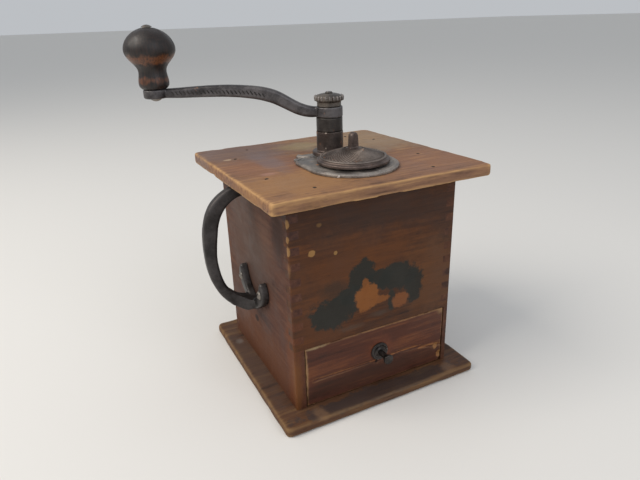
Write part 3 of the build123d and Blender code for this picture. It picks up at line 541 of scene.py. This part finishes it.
# A darker foot, a warm ring at the pull, worn edges, two chips and a pin hole.
drawer_patches = [
    ((0, front, 20), (60, 12, 9), "#3a2419", 0.6),
    ((4.2, front, 40.3), (11.5, 9, 11.5), "#6e3c28", 0.6),
    ((-55, front, 61.5), (9, 9, 2.0), "#9c8a68", 0.75),
    ((-64, front, 40), (1.5, 9, 22), "#9a7a56", 0.7),
    ((66, front, 60), (4, 9, 3), "#8a6a48", 0.7),
    ((62, front, 24.5), (2.6, 6, 3.4), "#94683d", 0.85),
    ((65.8, front, 15.5), (2.0, 6, 3), "#94683d", 0.85),
    ((0.8, front, 29.5), (1.2, 9, 1.2), "#1c120d", 0.95),
    ((20, front, 61.8), (44, 9, 1.2), "#9c7149", 0.6),
]
# Streaky red-brown varnish with a soft sheen, raw orange wood in the crack and
# the chips, and pale worn arrises.
front_board_wood = old_wood("softwood drawer front, streaky varnish with a crack", "X",
                            ("#331d15", "#4f2b1e", "#6b3d25"), 57, crack_patches + drawer_patches,
                            worn="#97724b", bump=0.9, gloss=0.5)
finished(drawer_front, front_board_wood, "drawer", "drawer_front_wood", "drawer_front")
# Bare wood that coffee has stained: pale, dry and open grained.
tray_wood = old_wood("softwood tray, bare and coffee stained", "Y", ("#5f4128", "#8f6a45", "#b59066"),
                     63, bump=1.1, gloss=0.72)
skinned(["drawer_left_side", "drawer_right_side", "drawer_back", "drawer_bottom"], tray_wood)

# ------------------------------------------------------------------ nails
# Hand-driven iron nails with small domed heads, gone dark brown. One nail is
# shaped and set on every point where the boards and the drawer are nailed.


def repeat_tree(name):
    """Sets one shape on each point, turned by the point's aim, and joins all."""
    tree = bpy.data.node_groups.new(name, "GeometryNodeTree")
    for socket, kind in (("Points", "NodeSocketGeometry"), ("Shape", "NodeSocketObject"),
                         ("Finish", "NodeSocketMaterial"), ("Least size", "NodeSocketFloat"),
                         ("Greatest size", "NodeSocketFloat"), ("Seed", "NodeSocketInt")):
        tree.interface.new_socket(socket, in_out="INPUT", socket_type=kind)
    tree.interface.new_socket("Joined", in_out="OUTPUT", socket_type="NodeSocketGeometry")
    given = node(tree, "NodeGroupInput").outputs
    shape = node(tree, "GeometryNodeObjectInfo", Object=given["Shape"]).outputs["Geometry"]
    aim = node(tree, "GeometryNodeInputNamedAttribute", {"data_type": "FLOAT_VECTOR"},
               Name="aim").outputs[0]
    turn = node(tree, "FunctionNodeEulerToRotation", Euler=aim).outputs[0]
    size = node(tree, "FunctionNodeRandomValue", {"data_type": "FLOAT"}, in_2=given["Least size"],
                in_3=given["Greatest size"], in_8=given["Seed"]).outputs[1]
    spread = node(tree, "GeometryNodeInstanceOnPoints", Points=given["Points"], Instance=shape,
                  Rotation=turn, Scale=size).outputs[0]
    whole = node(tree, "GeometryNodeRealizeInstances", in_0=spread).outputs[0]
    coated = node(tree, "GeometryNodeSetMaterial", in_0=whole, Material=given["Finish"]).outputs[0]
    node(tree, "NodeGroupOutput", in_0=coated)
    return tree


repeat_on_points = repeat_tree("repeat a shape on points")


def repeated(name, points, shape, material, least, greatest, seed):
    """A plain mesh of one shape set on points. Each point is place, aim in radians."""
    mesh = bpy.data.meshes.new(name)
    mesh.from_pydata([place for place, aim in points], [], [])
    aims = mesh.attributes.new("aim", "FLOAT_VECTOR", "POINT")
    for count, (place, aim) in enumerate(points):
        aims.data[count].vector = aim
    piece = bpy.data.objects.new(name, mesh)
    bpy.context.scene.collection.objects.link(piece)
    setting = piece.modifiers.new("repeat", "NODES")
    setting.node_group = repeat_on_points
    values = {"Shape": shape, "Finish": material, "Seed": seed,
              "Least size": least, "Greatest size": greatest}
    for item in repeat_on_points.interface.items_tree:
        if item.in_out == "INPUT" and item.name in values:
            setting[item.identifier] = values[item.name]
    applied(piece)
    bpy.data.objects.remove(shape)
    return piece


def solid(name, shape):
    """A smooth-shaded object from a bmesh, with its faces turned outwards."""
    bmesh.ops.recalc_face_normals(shape, faces=shape.faces)
    mesh = bpy.data.meshes.new(name)
    shape.to_mesh(mesh)
    shape.free()
    mesh.shade_smooth()
    piece = bpy.data.objects.new(name, mesh)
    bpy.context.scene.collection.objects.link(piece)
    return piece


def turned(name, profile, sides):
    """A closed solid of revolution about Z from (radius, height) pairs in mm."""
    shape = bmesh.new()
    rings = []
    for radius, height in profile:
        around = sides if radius else 1
        angles = [2 * math.pi * k / sides for k in range(around)]
        rings.append([shape.verts.new((radius * mm * math.cos(a), radius * mm * math.sin(a), height * mm))
                      for a in angles])
    for upper, lower in zip(rings[:-1], rings[1:]):
        for k in range(sides):
            quad = [upper[k % len(upper)], lower[k % len(lower)],
                    lower[(k + 1) % len(lower)], upper[(k + 1) % len(upper)]]
            shape.faces.new(list(dict.fromkeys(quad)))
    return solid(name, shape)


def iron(name, tones, rusty, seed, metal=0.75, rough=0.52, worn=None, bump=1.0, grain=850, patches=()):
    """Old iron, from its base, light and rust tones and how rusty it is.

    The skin is mottled and pitted by the mould or the hammer, rust takes it in
    small dull islands, and handling brightens it where the mesh is convex.
    """
    mottles_per_metre, rust_per_metre = 70, 130
    base, light, rust = tones
    rust_start = 0.68 - 0.2 * rusty
    material, tree, shader = new_material(name)
    place = node(tree, "ShaderNodeTexCoord").outputs["Object"]
    mottle = speckle(tree, place, mottles_per_metre, 5, 0.6, seed=seed)
    fine = speckle(tree, place, grain, 4, 0.6, seed=seed + 1)
    corroded = speckle(tree, place, rust_per_metre, 6, 0.68, seed=seed + 2)
    colour = laid(tree, linear(base), mottle, 0.36, 0.64, light)
    colour = laid(tree, colour, fine, 0.5, 0.7, "#1d1a18", 0.35)
    rusted = node(tree, "ShaderNodeMapRange", {"interpolation_type": "SMOOTHSTEP"}, Value=corroded,
                  From_Min=rust_start, From_Max=rust_start + 0.12, To_Max=0.85).outputs[0]
    colour = node(tree, "ShaderNodeMix", {"data_type": "RGBA"},
                  in_0=rusted, in_6=colour, in_7=linear(rust)).outputs[2]
    colour = stained(tree, colour, place, patches, seed)
    if worn:
        convex = node(tree, "ShaderNodeNewGeometry").outputs["Pointiness"]
        rubbed = weighted(tree, ((mottle, 0.08), (convex, 1.0)))
        colour = laid(tree, colour, rubbed, 0.57, 0.63, worn, 0.7)
    metallic = node(tree, "ShaderNodeMath", {"operation": "MULTIPLY_ADD"},
                    in_0=rusted, in_1=-metal, in_2=metal)
    uneven = node(tree, "ShaderNodeMapRange", {"interpolation_type": "SMOOTHSTEP"}, Value=mottle,
                  From_Min=0.35, From_Max=0.65, To_Min=rough - 0.1, To_Max=rough + 0.12)
    roughness = weighted(tree, ((rusted, 0.2), (uneven.outputs[0], 1.0)))
    relief = node(tree, "ShaderNodeBump", Strength=0.5 * bump, Distance=0.5 * mm,
                  Height=weighted(tree, ((fine, 0.6), (mottle, 0.8))))
    tree.links.new(colour, shader.inputs["Base Color"])
    tree.links.new(metallic.outputs[0], shader.inputs["Metallic"])
    tree.links.new(roughness, shader.inputs["Roughness"])
    tree.links.new(relief.outputs[0], shader.inputs["Normal"])
    return material


def islands(name):
    """The lowest and highest corners of each separate solid in a CAD node."""
    shape = bmesh.new()
    shape.from_mesh(frame["nodes"][name].data)
    bmesh.ops.remove_doubles(shape, verts=shape.verts, dist=1e-6)
    left = set(shape.verts)
    found = []
    while left:
        group = {left.pop()}
        waiting = list(group)
        while waiting:
            here = waiting.pop()
            for edge in here.link_edges:
                other = edge.other_vert(here)
                if other in left:
                    left.remove(other)
                    group.add(other)
                    waiting.append(other)
        places = np.array([tuple(v.co) for v in group])
        found.append((places.min(axis=0), places.max(axis=0)))
    shape.free()
    return sorted(found, key=lambda pair: tuple(np.round(pair[0], 5)))


def nail_shape(length):
    """A nail standing on its point, with the top of its domed head at zero."""
    profile = [(0, 0), (0.8, -0.08), (1.35, -0.3), (1.6, -0.6), (1.5, -0.95), (0.9, -1.05),
               (0.85, -length + 2.7), (0.2, -length), (0, -length)]
    return turned("nail", profile, 10)


# Forged iron gone brown-black: matt, with small rust islands.
nail_iron = iron("forged iron nail, dark with rust", ("#2a2420", "#4a3f38", "#5e3a22"), 0.5, 71,
                 metal=0.6, rough=0.6)
# Each row's body, its axis, which end of that axis the heads are at, where 0
# is the outer side, and the nails' length in mm.
nail_rows = {
    "top_nails": ("box", 2, 1, 28.0),
    "base_nails": ("box", 2, -1, 28.0),
    "drawer_nails": ("drawer", 0, 0, 15.0),
}
for count, (row, (body, axis, way, length)) in enumerate(nail_rows.items()):
    spots = []
    for low, high in islands(row):
        centre = (low + high) / 2
        outward = way or (1 if centre[0] > 0 else -1)
        centre[axis] = high[axis] if outward > 0 else low[axis]
        aim = (0 if outward > 0 else math.pi, 0, 0) if axis == 2 else (0, outward * math.pi / 2, 0)
        spots.append((tuple(centre), aim))
    nails = repeated("nails_of_" + row, spots, nail_shape(length), nail_iron, 0.98, 1.0, 5 + count)
    finished(nails, nail_iron, body, "fastener_steel", row)

# ------------------------------------------------------------------ drawer pull
# A small turned iron pull on a stamped round rosette, blackened and handled
# to a dull shine, held by a nut inside the drawer front.

# Blackened iron that fingers have polished: dark with a dull shine on its rims.
pull_iron = iron("turned iron pull, blackened and handled", ("#302c2a", "#4e4845", "#624636"), 0.3, 83,
                 rough=0.42, worn="#978e85", bump=0.5)
pull_skin = 0.35 * mm
for name in ("drawer_rosette", "drawer_knob"):
    trim = remeshed(cad_copy(name), pull_skin, 1)
    sunk(trim, uneven(2, 0.04, 4))
    finished(trim, pull_iron, "drawer", "blackened_iron", name)

# ------------------------------------------------------------------ side handle
# A cast iron bow handle with curled lugs, screwed to the left wall at its
# fork and foot. Its black skin is nearly whole, with lighter rubbed edges.

# Black japanning over cast iron: a smooth dark sheen, greyer along the edges.
handle_iron = iron("cast iron handle, black japanned and rubbed", ("#33302f", "#4f4b4a", "#725847"), 0.2,
                   91, rough=0.45, worn="#8c8580", bump=0.9)
handle_skin = 0.8 * mm
side_handle = remeshed(cad_copy("side_handle"), handle_skin, 3)
sunk(side_handle, uneven(5, 0.12, 6))
finished(side_handle, handle_iron, "box", "blackened_iron", "side_handle")

# ------------------------------------------------------------------ fasteners
# The slotted round-head screws, the countersunk bolts with their nuts, and the
# riveted pin of the grip, all of drawn steel and dulled by handling.

# Drawn steel: an even mid grey with a soft shine and a little rust.
fastener_steel = iron("drawn steel fastener, dulled grey", ("#6b6661", "#938c84", "#6a452c"), 0.4, 97,
                      metal=0.9, rough=0.42, grain=1600, bump=0.4)
skinned(["handle_screws", "plate_bolts", "bolt_nuts", "bridge_screws", "knob_spindle",
         "drawer_knob_nut"], fastener_steel)

# ------------------------------------------------------------------ cover plate
# A sand-cast iron plate with raised half-round rims round the filler and the
# tower, bolted through the board. Its rims are polished blue-grey by hands.

# Sand-cast iron: a coarse grey skin, bright where hands and beans rub it, with a small pale worn spot on
# the left painted bright as a glint.
cast_skin = iron("grey cast iron, blue-grey where rubbed", ("#726b67", "#9f978f", "#c58356"), 0.35, 103,
                 rough=0.5, worn="#ffffff", bump=1.1,
                 # A small pale worn spot on the left of the plate, painted bright as a glint.
                 patches=[((-21.7, -6.7, 192), (3, 2.4, 4), "#9a9893", 0.6)])
plate_skin, collar_skin = 0.45 * mm, 0.4 * mm
cover_plate = remeshed(cad_copy("cover_plate"), plate_skin)
sunk(cover_plate, uneven(4, 0.07, 9))
finished(cover_plate, cast_skin, "box", "cast_iron", "cover_plate")
# The tower's collar was turned on a lathe, so its grain is finer and its
# shine more even than the plate's.
collar_iron = iron("turned cast iron collar", ("#3a3634", "#58534e", "#674024"), 0.5, 107, rough=0.45,
                   grain=1200)
tower_collar = remeshed(cad_copy("tower_collar"), collar_skin, 1)
finished(tower_collar, collar_iron, "box", "cast_iron", "tower_collar")

# ------------------------------------------------------------------ hopper lid
# A cast iron lid on a sleeve that swings round the tower. Fine raised flutes
# swirl out over its cone from the foot of the finger tab.

# Brown-grey iron, polished by palms, with rust at the foot of the sleeve and a small painted highlight on
# the cone.
lid_iron = iron("cast iron lid, brown-grey with handled high spots", ("#544843", "#756760", "#b26d35"),
                0.45, 113, rough=0.47, worn="#b7aaa0", bump=1.0, patches=[
                    ((0, 0, 204), (13, 13, 9), "#302c29", 0.8),
                    # A small near-white painted highlight on the cone.
                    ((3, -20, 201), (2.6, 2.2, 4), "#e6dad0", 0.8),
                    ((11, 4, 192), (5, 5, 3), "#b26a34", 0.8),
                ])
lid_skin = 0.42 * mm
hopper_lid = remeshed(cad_copy("hopper_lid"), lid_skin)
sunk(hopper_lid, uneven(4, 0.06, 14))
finished(hopper_lid, lid_iron, "lid", "cast_iron", "hopper_lid")
lid_turn = math.radians(7.5)
lid_reach = 31.5
lid_underside, lid_step = 3.5, 3.5
cone_foot = top_high / mm + lid_underside + lid_step
cone_edge, cone_top_radius, cone_rise = 26.3, 5.5, 6.8
flute_count, flute_sweep = 46, math.radians(62)
flute_inner, flute_run = 7.5, 17.3
flute_half_width, flute_proud, flute_root = 0.62, 0.5, -0.35


def flute_shape():
    """One slim ridge that swirls out over the lid's cone, with its top rounded."""
    section = ((-1, flute_root), (-0.5, flute_proud * 0.7), (0, flute_proud), (0.5, flute_proud * 0.7),
               (1, flute_root))
    shape = bmesh.new()
    rows = []
    steps = 7
    for step in range(steps + 1):
        share = step / steps
        radius = flute_inner + flute_run * share
        angle = flute_sweep * share
        centre = Vector((radius * math.cos(angle), radius * math.sin(angle), 0))
        lean = angle + math.atan(radius * flute_sweep / flute_run)
        across = Vector((-math.sin(lean), math.cos(lean), 0))
        width = flute_half_width * (0.35 + 0.65 * math.sin(math.pi * min(1, 0.15 + share * 0.8)))
        level = (cone_edge - radius) / (cone_edge - cone_top_radius) * cone_rise
        rows.append([shape.verts.new((centre + across * side * width + Vector((0, 0, level + rise))) * mm)
                     for side, rise in section])
    for first, second in zip(rows[:-1], rows[1:]):
        for k in range(len(section)):
            after = (k + 1) % len(section)
            shape.faces.new((first[k], second[k], second[after], first[after]))
    shape.faces.new(rows[0])
    shape.faces.new(rows[-1])
    return solid("flute", shape)


dish_centre = (lid_reach * math.sin(lid_turn) * mm, -lid_reach * math.cos(lid_turn) * mm, cone_foot * mm)
flute_points = [(dish_centre, (0, 0, 2 * math.pi * k / flute_count)) for k in range(flute_count)]
# The same iron painted a little greyer, as a painted highlight on the ridges, so that they stand out from
# the cone.
lit_flute_iron = iron("cast iron flutes, painted lighter as lit ridges", ("#645a54", "#827871", "#935a2b"), 0.4, 117, rough=0.5)
flutes = repeated("lid_flutes", flute_points, flute_shape(), lit_flute_iron, 1.0, 1.0, 3)
finished(flutes, lit_flute_iron, "lid", "cast_iron")


def bead(name, centre, profile, sides):
    """A closed ring about a vertical axis from a loop of (radius, height) in mm."""
    shape = bmesh.new()
    hoops = []
    for k in range(sides):
        angle = 2 * math.pi * k / sides
        turn = Matrix.Rotation(angle, 3, "Z")
        hoops.append([shape.verts.new(Vector(centre) + turn @ Vector((radius, 0, height)) * mm)
                      for radius, height in profile])
    for first, second in zip(hoops, hoops[1:] + hoops[:1]):
        for k in range(len(profile)):
            after = (k + 1) % len(profile)
            shape.faces.new((first[k], second[k], second[after], first[after]))
    return solid(name, shape)


bead_loop = [(24.0, 0.2), (24.5, 0.95), (25.3, 1.25), (26.1, 0.95), (26.5, 0.1), (25.2, -0.6)]
lid_bead = bead("lid_bead", dish_centre, bead_loop, 96)
# The bead takes the same lighter iron, a painted highlight on its ridge.
finished(lid_bead, lit_flute_iron, "lid", "cast_iron")

# ------------------------------------------------------------------ mill works
# The grinding works: a rough cast hopper with its burr ring, a cast bridge
# below, a forged steel shaft with its cast burr, and the thumb nut on top,
# whose rim is ribbed for the fingers.

# Rough casting: near black, matt and coarse, browned by coffee.
bowl_iron = iron("rough cast iron, inside with coffee dust", ("#2f2a26", "#4b423a", "#6b4a2f"), 0.5, 121,
                 rough=0.66, bump=1.6, grain=600)
# Chilled iron: hard, pale and bright, because the beans keep it clean.
burr_iron = iron("chilled cast iron burr, bright teeth", ("#5a5855", "#8b8985", "#6b4a2f"), 0.2, 127,
                 metal=0.95, rough=0.38, grain=1500)
# Forged steel under oil: smooth, grey and fairly shiny.
shaft_steel = iron("forged steel shaft, oiled grey", ("#55514d", "#807a74", "#6a452c"), 0.3, 131,
                   metal=0.95, rough=0.36, grain=1500, bump=0.4)
skinned(["hopper_bowl", "shaft_bridge"], bowl_iron)
skinned(["outer_burr", "inner_burr"], burr_iron)
skinned(["burr_pin", "main_shaft"], shaft_steel)
# Cast iron that fingers have rubbed to a dull shine.
nut_iron = iron("cast iron adjusting nut, dark with rubbed wings", ("#48433f", "#706860", "#905f3e"), 0.3,
                137, rough=0.45, worn="#c0b6a9")
nut_skin = 0.35 * mm
adjusting_nut = remeshed(cad_copy("adjusting_nut"), nut_skin, 1)
sunk(adjusting_nut, uneven(3, 0.05, 5))
finished(adjusting_nut, nut_iron, "nut", "cast_iron", "adjusting_nut")
nut_places = np.array([tuple(v.co) for v in frame["nodes"]["adjusting_nut"].data.vertices])
nut_reach = np.hypot(nut_places[:, 0], nut_places[:, 1])
nut_rim_share = 0.97
nut_level = float(np.mean(nut_places[nut_reach > nut_rim_share * nut_reach.max(), 2]))
nut_rib_count, nut_rib_inset = 22, 0.5 * mm
nut_rib_ring = nut_reach.max() - nut_rib_inset
nut_rib = turned("nut_rib", [(0, 2.3), (0.55, 1.8), (0.8, 0.8), (0.8, -0.6), (0.5, -1.8), (0, -2.2)], 8)
nut_rib_points = []
for k in range(nut_rib_count):
    angle = 2 * math.pi * k / nut_rib_count
    place = (nut_rib_ring * math.cos(angle), nut_rib_ring * math.sin(angle), nut_level)
    nut_rib_points.append((place, (0, 0, angle)))
# Painted greyer than the nut itself, as a painted highlight, so that its ribs catch the light one by one.
lit_nut_rib_iron = iron("cast iron nut ribs, painted highlight on the crests", ("#696360", "#948d88", "#a86b3e"), 0.35, 151,
                    rough=0.45)
nut_ribs = repeated("nut_ribs", nut_rib_points, nut_rib, lit_nut_rib_iron, 0.95, 1.0, 13)
finished(nut_ribs, lit_nut_rib_iron, "nut", "cast_iron")

# ------------------------------------------------------------------ crank
# A cast iron arm that rises from its hub and runs out nearly level, with a
# row of slanted ribs cast along each flank. Black, rubbed lighter on edges.

# Black iron with a soft sheen, rubbed to grey along its long edges.
arm_iron = iron("cast iron crank, black and rubbed", ("#434041", "#686464", "#986a4a"), 0.25, 139,
                rough=0.43, worn="#b5b2b1", bump=0.9)
arm_skin = 0.6 * mm
crank_arm = remeshed(cad_copy("crank_arm"), arm_skin, 1)
sunk(crank_arm, uneven(4, 0.06, 18))
finished(crank_arm, arm_iron, "crank", "blackened_iron", "crank_arm")
joints = frame["record"]["behaviour"]["joints"]
grip_axis = next(joint for joint in joints if joint["name"] == "grip_spin")["pos_m"]
crank_heading = math.atan2(grip_axis[1], grip_axis[0])
# The arm's middle line: how far out, and how high above the top board.
arm_reaches, arm_levels = (41, 62, 95, 131), (50.4, 55.4, 57.1, 56.6)
rib_count, rib_start, rib_spacing, rib_offset, rib_lean = 24, 52, 3.1, 3.95, math.radians(32)
rib_profile = [(0, 2.1), (0.32, 1.7), (0.5, 0.9), (0.55, 0), (0.5, -0.9), (0.32, -1.7), (0, -2.1)]
rib_shape = turned("rib", rib_profile, 6)
rib_points = []
for side in (-1, 1):
    for k in range(rib_count):
        reach = rib_start + rib_spacing * k
        place = Matrix.Rotation(crank_heading, 3, "Z") @ Vector((reach, rib_offset * side, 0))
        place.z = top_high / mm + np.interp(reach, arm_reaches, arm_levels)
        rib_points.append((tuple(place * mm), (0, rib_lean, crank_heading)))
# Painted blacker than the arm, as painted shade, so that the ribs read as a row of fine dark strokes.
shaded_rib_iron = iron("cast iron ribs, painted dark as shade", ("#2f2c2b", "#4c4845", "#6a452c"), 0.2, 149, rough=0.5)
ribs = repeated("crank_ribs", rib_points, rib_shape, shaded_rib_iron, 0.92, 1.0, 11)
finished(ribs, shaded_rib_iron, "crank", "blackened_iron")

# ------------------------------------------------------------------ knob
# A turned hardwood grip that spins on its pin, painted near black. Handling
# has rubbed two orange-brown bands into it, below the belly and on the neck.
knob_low, knob_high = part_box("crank_knob")[0][2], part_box("crank_knob")[1][2]
knob_span = knob_high - knob_low
knob_skin = 0.6 * mm
crank_knob = remeshed(cad_copy("crank_knob"), knob_skin, 1)
sunk(crank_knob, uneven(3, 0.06, 8, stretch=(1, 1, 0.3)))
# Old black paint with a low sheen. The bands where hands have worn it through
# show warm wood, broken up along the grain, with soft wandering edges.
knob_wood, knob_tree, knob_shader = new_material("turned hardwood, worn black paint")
knob_place = node(knob_tree, "ShaderNodeTexCoord").outputs["Object"]
knob_height = node(knob_tree, "ShaderNodeSeparateXYZ", in_0=knob_place).outputs[2]
knob_grain = speckle(knob_tree, knob_place, 900, 5, 0.65, (1, 1, 0.08), 4)
knob_blotch = speckle(knob_tree, knob_place, 120, 5, 0.65, (1, 1, 0.5), 6)
knob_streaks = node(knob_tree, "ShaderNodeMapRange", {"interpolation_type": "SMOOTHSTEP"},
                    Value=knob_grain, From_Min=0.35, From_Max=0.6, To_Min=0.28, To_Max=0.8)
knob_colour = laid(knob_tree, linear("#110a08"), knob_grain, 0.4, 0.65, "#261812")
band_wander = 12 * mm
for band_share, band_half, band_tone in ((0.50, 0.10, "#714223"), (0.16, 0.07, "#633a21")):
    away = node(knob_tree, "ShaderNodeMath", {"operation": "SUBTRACT"},
                in_0=knob_height, in_1=knob_low + band_share * knob_span).outputs[0]
    off = node(knob_tree, "ShaderNodeMath", {"operation": "ABSOLUTE"}, in_0=away).outputs[0]
    wandering = weighted(knob_tree, ((knob_blotch, band_wander), (off, 1.0)))
    outer, inner = band_half * knob_span, band_half * knob_span * 0.2
    knob_colour = laid(knob_tree, knob_colour, wandering, outer + band_wander / 2,
                       inner + band_wander / 2, band_tone, knob_streaks.outputs[0])
knob_roughness = node(knob_tree, "ShaderNodeMapRange", {"interpolation_type": "SMOOTHSTEP"},
                      Value=knob_blotch, From_Min=0.35, From_Max=0.65, To_Min=0.34, To_Max=0.55)
knob_relief = node(knob_tree, "ShaderNodeBump", Strength=0.35, Distance=0.4 * mm, Height=knob_grain)
knob_tree.links.new(knob_colour, knob_shader.inputs["Base Color"])
knob_tree.links.new(knob_roughness.outputs[0], knob_shader.inputs["Roughness"])
knob_tree.links.new(knob_relief.outputs[0], knob_shader.inputs["Normal"])
finished(crank_knob, knob_wood, "grip", "turned_knob_wood", "crank_knob")
